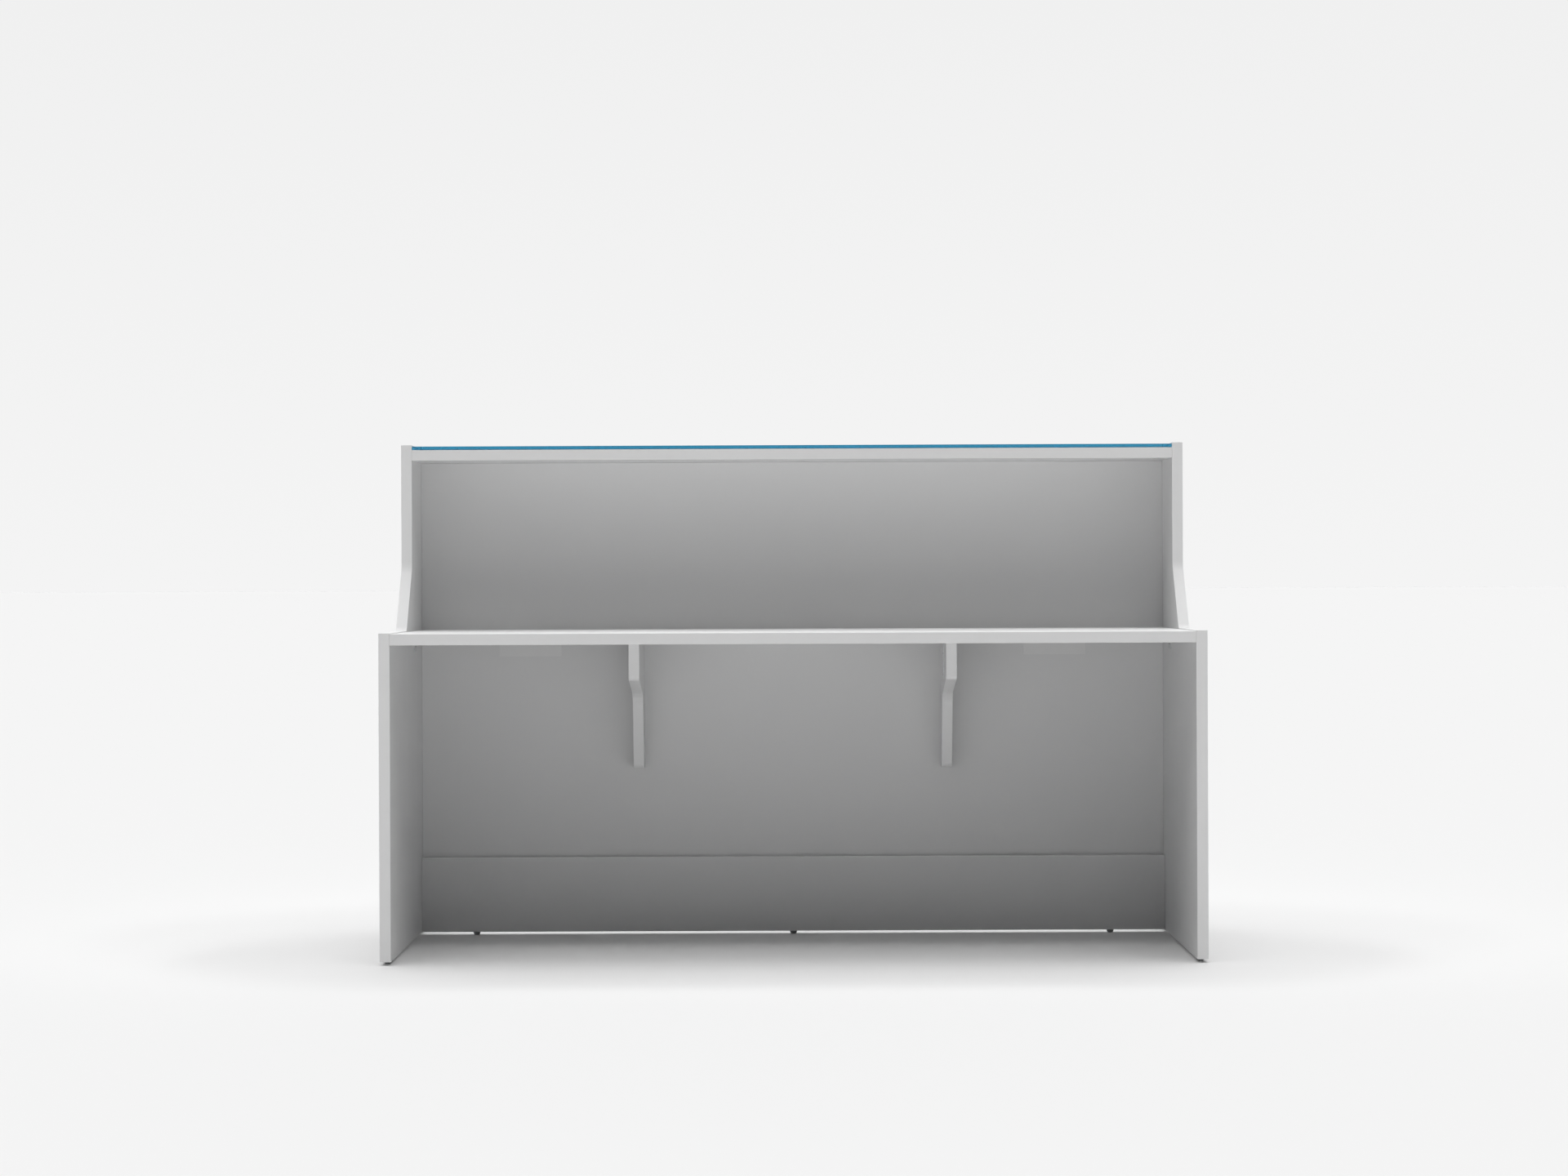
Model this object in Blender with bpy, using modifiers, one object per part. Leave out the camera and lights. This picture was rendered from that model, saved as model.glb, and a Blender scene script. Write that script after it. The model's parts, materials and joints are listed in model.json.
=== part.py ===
"""Reception counter: a low desk side for staff, and a raised, glass topped side for visitors.

X runs across the counter, Y from the staff side to the visitor side, and Z up. The origin is on the
floor, in the middle of the footprint. Lengths are in metres. A depth is measured from the staff edge
of the side panels, and a height from the floor.
"""

from math import ceil, cos, pi, radians, sin, tan

import bmesh
import bpy
from mathutils import Matrix, Vector
from mathutils.geometry import intersect_line_line

# Overall sizes
OVERALL_WIDTH = 1.850
OVERALL_DEPTH = 0.800
OVERALL_HEIGHT = 1.180
DESK_HEIGHT = 0.740

# Boards, their edge bands, and the gap kept between pieces that touch
BOARD = 0.025
BAND = 0.002
BAND_ARRIS = 0.0008
SEAT_GAP = 0.0003

# Side panel outline
DESK_SETDOWN = 0.002
UPPER_SETBACK = 0.483
SLOPE_RUN = 0.126
SLOPE_RISE = 0.146
SLOPE_FOOT_RADIUS = 0.030
SLOPE_TOP_RADIUS = 0.040

# Glass top on the shelf
GLASS_THICKNESS = 0.008
GLASS_SETDOWN = 0.003
GLASS_END_GAP = 0.001
GLASS_ARRIS = 0.001

# Front panel and plinth
FRONT_RECESS = 0.075
FRONT_BOTTOM = 0.100
PLINTH_TOP = 0.1875

# Brackets under the worktop
BRACKET_SPACING = 0.744
BRACKET_REACH = 0.306
BRACKET_TIP = 0.091
BRACKET_DROP = 0.311
BRACKET_THROAT_REACH = 0.095
BRACKET_THROAT_DROP = 0.130
BRACKET_FOOT_REACH = 0.044
BRACKET_TIP_RADIUS = 0.014
BRACKET_THROAT_RADIUS = 0.045
BRACKET_FOOT_RADIUS = 0.016

# Fixing angles of sheet steel
SHEET = 0.002
SHEET_BEND = 0.0025
SIDE_ANGLE_LEG = 0.024
SIDE_ANGLE_LENGTH = 0.054
SIDE_ANGLE_DEPTH = 0.533
BRACKET_ANGLE_TALL_LEG = 0.092
BRACKET_ANGLE_SHORT_LEG = 0.024
BRACKET_ANGLE_LENGTH = 0.020
BRACKET_ANGLE_SETBACK = 0.105
FRONT_ANGLE_LEG = 0.040
FRONT_ANGLE_LENGTH = 0.150
SCREW_HOLE_RADIUS = 0.0021

# Wooden dowels, with the depths of their holes in a board's face and in a board's edge
DOWEL_RADIUS = 0.004
DOWEL_FACE_DEPTH = 0.012
DOWEL_EDGE_DEPTH = 0.022
DOWEL_END_GAP = 0.0008

# Cam locks under the shelf, each with a bolt that is screwed into the side panel, and a cover cap
CAM_RADIUS = 0.0075
CAM_DEPTH = 0.017
CAM_REACH = 0.034
CAM_SLOT_WIDTH = 0.0018
CAM_SLOT_DEPTH = 0.0025
CAP_RADIUS = 0.0087
CAP_THICKNESS = 0.0012
CAP_RIM = 0.0004
BOLT_THREAD_RADIUS = 0.0025
BOLT_THREAD_LENGTH = 0.011
BOLT_SHANK_RADIUS = 0.0032
BOLT_NECK_RADIUS = 0.0018
BOLT_NECK_LENGTH = 0.0062
BOLT_HEAD_RADIUS = 0.0030
BOLT_HEAD_FLAT_RADIUS = 0.0020
BOLT_HEAD_LENGTH = 0.0032
BOLT_BORE_RADIUS = 0.0040

# Levelling feet and the threaded sleeves that they screw into
FOOT_HEIGHT = 0.008
FOOT_RADIUS = 0.0085
FOOT_RIM = 0.0015
FOOT_FLAT_RADIUS = 0.0035
STUD_RADIUS = 0.003
STUD_LENGTH = 0.024
STUD_CHAMFER = 0.0008
SLEEVE_RADIUS = 0.005
SLEEVE_LENGTH = 0.026
SIDE_FOOT_INSET = 0.050
PLINTH_FOOT_INSET = 0.132

# Shares of the length that they divide, for fittings set out along a board
FRONT_DOWEL_SHARES = {"lower": 0.14, "upper": 0.86}
PLINTH_DOWEL_SHARE = 0.5
BRACKET_DOWEL_SHARE = 0.75
SHELF_INSIDE_CAM_SHARE = 0.30
SHELF_OVERHANG_CAM_SHARE = 0.32
ANGLE_SCREW_SHARES = (0.25, 0.75)
TALL_LEG_SCREW_SHARES = (0.35, 0.90)
SHORT_LEG_SCREW_SHARE = 0.62
CAM_SLOT_SHARE = 0.67

# Fineness of round forms
ARC_STEP = radians(9)
ROUND_SIDES = 16
SMALL_SIDES = 12
DOME_STEPS = 4
ARRIS_STEPS = 2
SMOOTH_ANGLE = radians(32)
CORNER_ANGLE = radians(60)
WELD = 0.00001

# How far a cutter starts before the face that it opens
OVERRUN = 0.002

# Places that follow from the sizes above
INNER_HALF = OVERALL_WIDTH / 2 - BOARD
SIDE_MIDDLE = OVERALL_WIDTH / 2 - BOARD / 2
BOARD_HALF = INNER_HALF - SEAT_GAP
STAFF_Y = -OVERALL_DEPTH / 2
DESK_SIDE_TOP = DESK_HEIGHT + DESK_SETDOWN
WORKTOP_BOTTOM = DESK_HEIGHT - BOARD
GLASS_TOP = OVERALL_HEIGHT - GLASS_SETDOWN
GLASS_BOTTOM = GLASS_TOP - GLASS_THICKNESS
SHELF_TOP = GLASS_BOTTOM - SEAT_GAP
SHELF_BOTTOM = SHELF_TOP - BOARD
FRONT_FACE = OVERALL_DEPTH - FRONT_RECESS - BOARD
PLINTH_FACE = FRONT_FACE - BOARD
BRACKET_X = BRACKET_SPACING / 2
BAND_SEAT = BAND + SEAT_GAP

# Colours
BOARD_WHITE = (0.79, 0.79, 0.79)
BAND_WHITE = (0.86, 0.86, 0.86)
PLASTIC_WHITE = (0.80, 0.80, 0.80)
PLASTIC_GREY = (0.32, 0.325, 0.33)
GLASS_BLUE = (0.03, 0.24, 0.40)
ZINC = (0.72, 0.73, 0.74)
BEECH = (0.68, 0.50, 0.32)


def clear_scene():
    """Removes whatever the open file holds."""
    for old in list(bpy.data.objects):
        bpy.data.objects.remove(old, do_unlink=True)


def new_collection(name):
    """A collection in the open scene."""
    collection = bpy.data.collections.new(name)
    bpy.context.scene.collection.children.link(collection)
    return collection


clear_scene()
COUNTER = new_collection("reception_counter")
CUTTERS = new_collection("cutters")
BORES = {}
POCKETS = {}


# Materials

def finish(name, colour, roughness, metallic=0.0):
    """A plain finish of one colour."""
    material = bpy.data.materials.new(name + "_finish")
    material.use_nodes = True
    shader = material.node_tree.nodes["Principled BSDF"]
    shader.inputs["Base Color"].default_value = (*colour, 1.0)
    shader.inputs["Roughness"].default_value = roughness
    shader.inputs["Metallic"].default_value = metallic
    return material


def melamine(name):
    """White melamine board face."""
    return finish(name, BOARD_WHITE, 0.5)


def edge_plastic(name):
    """White plastic of an edge band."""
    return finish(name, BAND_WHITE, 0.45)


def blue_glass(name):
    """Glass painted blue on its back."""
    return finish(name, GLASS_BLUE, 0.06)


def zinc_plate(name):
    """Zinc plated steel."""
    return finish(name, ZINC, 0.38, 1.0)


def white_powder_coat(name):
    """White powder coated steel."""
    return finish(name, PLASTIC_WHITE, 0.45)


def beech_wood(name):
    """Plain beech."""
    return finish(name, BEECH, 0.6)


def grey_plastic(name):
    """Grey moulded plastic."""
    return finish(name, PLASTIC_GREY, 0.4)


def white_plastic(name):
    """White moulded plastic."""
    return finish(name, PLASTIC_WHITE, 0.42)


# Outlines, as corner points run anticlockwise

def inset_corners(corners, insets):
    """The corners of a polygon after each of its sides has moved inwards by its own inset."""
    lines = []
    for i, corner in enumerate(corners):
        following = corners[(i + 1) % len(corners)]
        along = (following - corner).normalized()
        shift = Vector((-along.y, along.x)) * insets[i]
        lines.append(((corner + shift).to_3d(), (following + shift).to_3d()))
    moved = []
    for i in range(len(corners)):
        crossing = intersect_line_line(*lines[i - 1], *lines[i])[0]
        moved.append(crossing.to_2d())
    return moved


def inset_radii(corners, radii, inset):
    """Radii for the polygon moved inwards: smaller where it turns left, larger where it turns right."""
    moved = []
    for i, radius in enumerate(radii):
        arriving = corners[i] - corners[i - 1]
        leaving = corners[(i + 1) % len(corners)] - corners[i]
        grown = radius - inset if arriving.cross(leaving) > 0 else radius + inset
        moved.append(max(grown, 0) if radius else 0)
    return moved


def rounded(corners, radii):
    """Outline points of a polygon whose corners are rounded by arcs."""
    points = []
    for i, corner in enumerate(corners):
        if not radii[i]:
            points.append(corner)
            continue
        back = (corners[i - 1] - corner).normalized()
        ahead = (corners[(i + 1) % len(corners)] - corner).normalized()
        half_angle = back.angle(ahead) / 2
        centre = corner + (back + ahead).normalized() * (radii[i] / sin(half_angle))
        arm = corner + back * (radii[i] / tan(half_angle)) - centre
        turn = pi - 2 * half_angle
        if back.cross(ahead) > 0:
            turn = -turn
        steps = ceil(abs(turn) / ARC_STEP)
        for step in range(steps + 1):
            points.append(centre + Matrix.Rotation(turn * step / steps, 2) @ arm)
    return points


# Meshes and objects

def new_object(name, mesh, collection=COUNTER):
    """An object for a mesh, in a collection."""
    piece = bpy.data.objects.new(name, mesh)
    collection.objects.link(piece)
    return piece


def evaluated_mesh(source):
    """The mesh that an object ends up with. The object is removed."""
    bpy.context.view_layer.update()
    depsgraph = bpy.context.evaluated_depsgraph_get()
    mesh = bpy.data.meshes.new_from_object(source.evaluated_get(depsgraph), depsgraph=depsgraph)
    bpy.data.objects.remove(source, do_unlink=True)
    return mesh


def to_mesh(shape, name):
    """A new mesh from a bmesh, which is freed."""
    mesh = bpy.data.meshes.new(name)
    shape.to_mesh(mesh)
    shape.free()
    return mesh


def smooth_round(mesh):
    """Shades a mesh smooth, apart from its sharp corners."""
    mesh.shade_smooth()
    mesh.set_sharp_from_angle(angle=SMOOTH_ANGLE)
    return mesh


def flat_mesh(name, outlines, thickness):
    """A flat plate in the XY plane. The first outline is its rim and any other one a hole."""
    curve = bpy.data.curves.new(name, "CURVE")
    curve.dimensions = "2D"
    curve.fill_mode = "BOTH"
    curve.extrude = thickness / 2
    for outline in outlines:
        spline = curve.splines.new("POLY")
        spline.points.add(len(outline) - 1)
        spline.use_cyclic_u = True
        for point, place in zip(spline.points, outline):
            point.co = (place.x, place.y, 0, 1)
    mesh = evaluated_mesh(new_object(name, curve))
    bpy.data.curves.remove(curve)
    shape = bmesh.new()
    shape.from_mesh(mesh)
    bmesh.ops.remove_doubles(shape, verts=shape.verts, dist=WELD)
    bmesh.ops.recalc_face_normals(shape, faces=shape.faces)
    shape.to_mesh(mesh)
    shape.free()
    return mesh


def turned_mesh(name, profile, sides, is_ring=False):
    """A round piece: (radius, height) points, run down the outer side and turned round Z."""
    outline = bpy.data.meshes.new(name)
    edges = [(i, i + 1) for i in range(len(profile) - 1)]
    if is_ring:
        edges.append((len(profile) - 1, 0))
    outline.from_pydata([(radius, 0, height) for radius, height in profile], edges, [])
    source = new_object(name, outline)
    screw = source.modifiers.new("turn", "SCREW")
    screw.steps = sides
    screw.render_steps = sides
    screw.use_merge_vertices = True
    screw.merge_threshold = WELD
    return smooth_round(evaluated_mesh(source))


def rod_mesh(name, radius, length, sides):
    """A cylinder that starts at the origin and runs up Z."""
    shape = bmesh.new()
    bmesh.ops.create_cone(shape, cap_ends=True, segments=sides, radius1=radius, radius2=radius,
                          depth=length, matrix=Matrix.Translation((0, 0, length / 2)))
    return to_mesh(shape, name)


def box_shape(low, high):
    """A box between two corners, as a bmesh."""
    shape = bmesh.new()
    size = Matrix.Diagonal((high - low).to_4d())
    bmesh.ops.create_cube(shape, size=1, matrix=Matrix.Translation((low + high) / 2) @ size)
    return shape


def cut_mesh(name, mesh, cutter_meshes):
    """The mesh after each of the cutter meshes has been taken out of it."""
    source = new_object(name, mesh)
    cutters = []
    for cutter_mesh in cutter_meshes:
        cutter = new_object(name + "_cutter", cutter_mesh, CUTTERS)
        add_cut(source, "cut", cutter)
        cutters.append(cutter)
    result = evaluated_mesh(source)
    for cutter in cutters:
        bpy.data.objects.remove(cutter, do_unlink=True)
    return result


def add_cut(piece, label, cutter):
    """Takes one object out of another with a modifier."""
    cut = piece.modifiers.new(label, "BOOLEAN")
    cut.operation = "DIFFERENCE"
    cut.solver = "EXACT"
    cut.object = cutter


def place_along(point, direction):
    """The matrix that takes the origin to a point and +Z to a direction."""
    turn = Vector((0, 0, 1)).rotation_difference(Vector(direction))
    return Matrix.Translation(point) @ turn.to_matrix().to_4x4()


# Holes, which are noted for each board until all of its fittings are placed

def add_hole(holes, node, mouth, direction, radius, depth):
    """Notes a round hole that starts at a board's face and runs into it."""
    holes.setdefault(node, []).append((Vector(mouth), Vector(direction), radius, depth))


def cut_holes(holes, label):
    """Cuts every noted hole out of its board."""
    for node, entries in holes.items():
        whole = bmesh.new()
        for mouth, direction, radius, depth in entries:
            rod = rod_mesh(label, radius, depth + OVERRUN, SMALL_SIDES)
            rod.transform(place_along(mouth - direction * OVERRUN, direction))
            whole.from_mesh(rod)
            bpy.data.meshes.remove(rod)
        cutter = new_object(node + "_" + label, to_mesh(whole, label), CUTTERS)
        cutter.hide_render = True
        cutter.display_type = "WIRE"
        add_cut(bpy.data.objects[node], label, cutter)


# Boards and bands

def stand_upright(piece, x):
    """Turns a plate drawn as depth and height into the YZ plane, at a place along X."""
    piece.rotation_euler = (radians(90), 0, radians(90))
    piece.location = (x, STAFF_Y, 0)


def flat_board(name, low, high):
    """A straight board given by its corners as (x, depth, height)."""
    piece = new_object(name, to_mesh(box_shape(Vector(low), Vector(high)), name))
    piece.location = (0, STAFF_Y, 0)
    piece.data.materials.append(melamine(name))


def ease_edges(shape, edges, width):
    """Rounds edges of a bmesh."""
    bmesh.ops.bevel(shape, geom=edges, offset=width, segments=ARRIS_STEPS, profile=0.5, affect="EDGES")


def straight_band(name, low, high, outwards):
    """A straight band given by its corners as (x, depth, height). Its long outer edges are rounded."""
    low = Vector(low)
    high = Vector(high)
    shape = box_shape(low, high)
    arrises = []
    for edge in shape.edges:
        first, second = (vertex.co for vertex in edge.verts)
        runs_along_x = abs(first.x - second.x) > WELD
        is_outer = ((first + second - low - high) / 2).dot(Vector(outwards)) > 0
        if runs_along_x and is_outer:
            arrises.append(edge)
    ease_edges(shape, arrises, BAND_ARRIS)
    piece = new_object(name, to_mesh(shape, name))
    piece.location = (0, STAFF_Y, 0)
    piece.data.materials.append(edge_plastic(name))


def profile_band(name, outlines, rim, x):
    """A band that follows a shaped rim in the YZ plane. Its edges along the rim are rounded."""
    mesh = flat_mesh(name, outlines, BOARD)
    shape = bmesh.new()
    shape.from_mesh(mesh)
    on_rim = set()
    for vertex in shape.verts:
        if min((vertex.co.to_2d() - point).length for point in rim) < WELD:
            on_rim.add(vertex)
    arrises = []
    for edge in shape.edges:
        first, second = edge.verts
        along_face = abs(first.co.z - second.co.z) < WELD
        is_corner = edge.calc_face_angle(0) > CORNER_ANGLE
        if along_face and is_corner and first in on_rim and second in on_rim:
            arrises.append(edge)
    ease_edges(shape, arrises, BAND_ARRIS)
    shape.to_mesh(mesh)
    shape.free()
    band = new_object(name, smooth_round(mesh))
    band.data.materials.append(edge_plastic(name))
    stand_upright(band, x)


def profile_board(name, outline, x):
    """A board with a shaped outline in the YZ plane."""
    board = new_object(name, flat_mesh(name, [outline], BOARD))
    board.data.materials.append(melamine(name))
    stand_upright(board, x)


def side_corners():
    """Corners of a side panel's outline as depth and height, with their radii."""
    corners = [
        Vector((0, FOOT_HEIGHT)),
        Vector((OVERALL_DEPTH, FOOT_HEIGHT)),
        Vector((OVERALL_DEPTH, OVERALL_HEIGHT)),
        Vector((UPPER_SETBACK, OVERALL_HEIGHT)),
        Vector((UPPER_SETBACK, DESK_SIDE_TOP + SLOPE_RISE)),
        Vector((UPPER_SETBACK - SLOPE_RUN, DESK_SIDE_TOP)),
        Vector((0, DESK_SIDE_TOP)),
    ]
    radii = [0, 0, 0, 0, SLOPE_TOP_RADIUS, SLOPE_FOOT_RADIUS, 0]
    return corners, radii


def side_outline(inset):
    """A side panel's rounded outline, drawn in all round."""
    corners, radii = side_corners()
    moved = inset_corners(corners, [inset] * len(corners))
    return rounded(moved, inset_radii(corners, radii, inset))


def side_panels():
    """The two stepped side panels, each with a band round its whole edge."""
    rim = side_outline(0)
    for side, x in (("left", -SIDE_MIDDLE), ("right", SIDE_MIDDLE)):
        profile_board(side + "_side_panel", side_outline(BAND_SEAT), x)
        profile_band(side + "_side_edge_band", [rim, side_outline(BAND)], rim, x)


def worktop():
    """The worktop between the side panels, with a band along its staff edge."""
    back = FRONT_FACE - SEAT_GAP
    flat_board("worktop", (-BOARD_HALF, BAND_SEAT, WORKTOP_BOTTOM), (BOARD_HALF, back, DESK_HEIGHT))
    straight_band("worktop_edge_band", (-BOARD_HALF, 0, WORKTOP_BOTTOM), (BOARD_HALF, BAND, DESK_HEIGHT),
                  (0, -1, 0))


def top_shelf():
    """The shelf under the glass, with a band along each long edge."""
    flat_board("top_shelf", (-BOARD_HALF, UPPER_SETBACK + BAND_SEAT, SHELF_BOTTOM),
               (BOARD_HALF, OVERALL_DEPTH - BAND_SEAT, SHELF_TOP))
    straight_band("top_shelf_staff_edge_band", (-BOARD_HALF, UPPER_SETBACK, SHELF_BOTTOM),
                  (BOARD_HALF, UPPER_SETBACK + BAND, SHELF_TOP), (0, -1, 0))
    straight_band("top_shelf_visitor_edge_band", (-BOARD_HALF, OVERALL_DEPTH - BAND, SHELF_BOTTOM),
                  (BOARD_HALF, OVERALL_DEPTH, SHELF_TOP), (0, 1, 0))


def glass_top():
    """The glass that lies on the shelf, with all its edges eased."""
    half = INNER_HALF - GLASS_END_GAP
    shape = box_shape(Vector((-half, UPPER_SETBACK, GLASS_BOTTOM)), Vector((half, OVERALL_DEPTH, GLASS_TOP)))
    ease_edges(shape, shape.edges[:], GLASS_ARRIS)
    glass = new_object("glass_top", smooth_round(to_mesh(shape, "glass_top")))
    glass.location = (0, STAFF_Y, 0)
    glass.data.materials.append(blue_glass("glass_top"))


def front_panel():
    """The tall panel that closes the visitor side, with a band along its bottom edge."""
    back = FRONT_FACE + BOARD
    flat_board("front_panel", (-BOARD_HALF, FRONT_FACE, FRONT_BOTTOM + BAND_SEAT),
               (BOARD_HALF, back, SHELF_BOTTOM - SEAT_GAP))
    straight_band("front_panel_edge_band", (-BOARD_HALF, FRONT_FACE, FRONT_BOTTOM),
                  (BOARD_HALF, back, FRONT_BOTTOM + BAND), (0, 0, -1))


def plinth():
    """The low board behind the front panel's foot, with a band along its top and its bottom edge."""
    back = FRONT_FACE - SEAT_GAP
    flat_board("plinth_panel", (-BOARD_HALF, PLINTH_FACE, FOOT_HEIGHT + BAND_SEAT),
               (BOARD_HALF, back, PLINTH_TOP - BAND_SEAT))
    straight_band("plinth_bottom_edge_band", (-BOARD_HALF, PLINTH_FACE, FOOT_HEIGHT),
                  (BOARD_HALF, back, FOOT_HEIGHT + BAND), (0, 0, -1))
    straight_band("plinth_top_edge_band", (-BOARD_HALF, PLINTH_FACE, PLINTH_TOP - BAND),
                  (BOARD_HALF, back, PLINTH_TOP), (0, 0, 1))


def bracket_outline(inset):
    """A bracket's rounded outline from its arm's end round to its foot, with the open sides drawn in.

    The side on the worktop and the side on the front panel stay, so the outline starts and ends there.
    """
    top = WORKTOP_BOTTOM - SEAT_GAP
    back = FRONT_FACE - SEAT_GAP
    corners = [
        Vector((back - BRACKET_REACH, top)),
        Vector((back - BRACKET_REACH, top - BRACKET_TIP)),
        Vector((back - BRACKET_THROAT_REACH, top - BRACKET_THROAT_DROP)),
        Vector((back - BRACKET_FOOT_REACH, top - BRACKET_DROP)),
        Vector((back, top - BRACKET_DROP)),
        Vector((back, top)),
    ]
    radii = [0, BRACKET_TIP_RADIUS, BRACKET_THROAT_RADIUS, BRACKET_FOOT_RADIUS, 0, 0]
    moved = inset_corners(corners, [inset, inset, inset, inset, 0, 0])
    return rounded(moved, inset_radii(corners, radii, inset))


def brackets():
    """The two L-shaped brackets that carry the worktop, each with a band round its open sides."""
    rim = bracket_outline(0)[:-1]
    strip = rim + bracket_outline(BAND)[-2::-1]
    for side, x in (("left", -BRACKET_X), ("right", BRACKET_X)):
        profile_board(side + "_bracket", bracket_outline(BAND_SEAT), x)
        profile_band(side + "_bracket_edge_band", [strip], rim, x)


# Wooden dowels

def dowel(name, point, direction, first, second):
    """A dowel from the edge of the first board, across the joint at a point, into the face of the second."""
    along = Vector(direction)
    length = DOWEL_EDGE_DEPTH + DOWEL_FACE_DEPTH - 2 * DOWEL_END_GAP
    mesh = rod_mesh(name, DOWEL_RADIUS - SEAT_GAP, length, SMALL_SIDES)
    mesh.transform(Matrix.Translation((0, 0, DOWEL_END_GAP - DOWEL_EDGE_DEPTH)))
    piece = new_object(name, smooth_round(mesh))
    piece.matrix_world = place_along(Vector(point), along)
    piece.data.materials.append(beech_wood(name))
    add_hole(BORES, first, point, -along, DOWEL_RADIUS, DOWEL_EDGE_DEPTH)
    add_hole(BORES, second, point, along, DOWEL_RADIUS, DOWEL_FACE_DEPTH)


def dowels():
    """The dowels that join the front panel and the plinth to the sides, and the brackets to the front."""
    front_y = STAFF_Y + FRONT_FACE + BOARD / 2
    plinth_y = STAFF_Y + PLINTH_FACE + BOARD / 2
    plinth_z = FOOT_HEIGHT + (PLINTH_TOP - FOOT_HEIGHT) * PLINTH_DOWEL_SHARE
    leg_z = WORKTOP_BOTTOM - BRACKET_DROP * BRACKET_DOWEL_SHARE
    for side, sign in (("left", -1), ("right", 1)):
        panel = side + "_side_panel"
        outwards = (sign, 0, 0)
        panel_x = sign * INNER_HALF
        for level, share in FRONT_DOWEL_SHARES.items():
            z = FRONT_BOTTOM + (SHELF_BOTTOM - FRONT_BOTTOM) * share
            dowel(f"front_{side}_{level}_dowel", (panel_x, front_y, z), outwards, "front_panel", panel)
        dowel(f"plinth_{side}_dowel", (panel_x, plinth_y, plinth_z), outwards, "plinth_panel", panel)
        dowel(f"{side}_bracket_dowel", (sign * BRACKET_X, STAFF_Y + FRONT_FACE, leg_z), (0, 1, 0),
              side + "_bracket", "front_panel")


# Cam fittings

def bolt_mesh():
    """A cam bolt. Its thread runs down from the origin and its head is at the top, on the cam's axis."""
    head_top = CAM_REACH + BOLT_HEAD_LENGTH / 2
    head_foot = CAM_REACH - BOLT_HEAD_LENGTH / 2
    neck_foot = head_foot - BOLT_NECK_LENGTH
    profile = [
        (0, head_top),
        (BOLT_HEAD_FLAT_RADIUS, head_top),
        (BOLT_HEAD_RADIUS, CAM_REACH),
        (BOLT_HEAD_FLAT_RADIUS, head_foot),
        (BOLT_NECK_RADIUS, head_foot),
        (BOLT_NECK_RADIUS, neck_foot),
        (BOLT_SHANK_RADIUS, neck_foot),
        (BOLT_SHANK_RADIUS, SEAT_GAP),
        (BOLT_THREAD_RADIUS, SEAT_GAP),
        (BOLT_THREAD_RADIUS, -BOLT_THREAD_LENGTH),
        (0, -BOLT_THREAD_LENGTH),
    ]
    return turned_mesh("cam_bolt", profile, SMALL_SIDES)


def cam_mesh():
    """A cam lock with its bolt's axis along X. Its jaw holds the bolt's head, and a cross slot turns it."""
    bottom = SEAT_GAP - BOARD / 2
    top = CAM_DEPTH - SEAT_GAP - BOARD / 2
    body = rod_mesh("cam_lock", CAM_RADIUS - SEAT_GAP, top - bottom, ROUND_SIDES)
    body.transform(Matrix.Translation((0, 0, bottom)))
    chamber_length = BOLT_HEAD_LENGTH + 2 * SEAT_GAP
    chamber = rod_mesh("chamber", BOLT_HEAD_RADIUS + SEAT_GAP, chamber_length, SMALL_SIDES)
    chamber.transform(place_along((-chamber_length / 2, 0, 0), (1, 0, 0)))
    throat = rod_mesh("throat", BOLT_NECK_RADIUS + SEAT_GAP, CAM_RADIUS + OVERRUN, SMALL_SIDES)
    throat.transform(place_along((0, 0, 0), (1, 0, 0)))
    cutters = [chamber, throat]
    slot_half = CAM_RADIUS * CAM_SLOT_SHARE
    half_width = CAM_SLOT_WIDTH / 2
    for half_x, half_y in ((slot_half, half_width), (half_width, slot_half)):
        low = Vector((-half_x, -half_y, bottom - OVERRUN))
        high = Vector((half_x, half_y, bottom + CAM_SLOT_DEPTH))
        cutters.append(to_mesh(box_shape(low, high), "slot"))
    return smooth_round(cut_mesh("cam_lock", body, cutters))


def cap_mesh():
    """A cover cap: a thin disc with a short spigot that goes into the cam's slot. Its face is at the top."""
    spigot_radius = CAM_SLOT_WIDTH / 2 - SEAT_GAP
    spigot_length = CAM_SLOT_DEPTH / 2
    profile = [
        (0, CAP_THICKNESS),
        (CAP_RADIUS - CAP_RIM, CAP_THICKNESS),
        (CAP_RADIUS, CAP_THICKNESS - CAP_RIM),
        (CAP_RADIUS, 0),
        (spigot_radius, 0),
        (spigot_radius, -spigot_length),
        (0, -spigot_length),
    ]
    return turned_mesh("cam_cap", profile, ROUND_SIDES)


def cam_depths():
    """Where the cam locks sit along the depth: one on each side of the front panel under the shelf."""
    inside = FRONT_FACE - UPPER_SETBACK
    return {
        "staff": UPPER_SETBACK + inside * SHELF_INSIDE_CAM_SHARE,
        "visitor": FRONT_FACE + BOARD + FRONT_RECESS * SHELF_OVERHANG_CAM_SHARE,
    }


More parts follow.
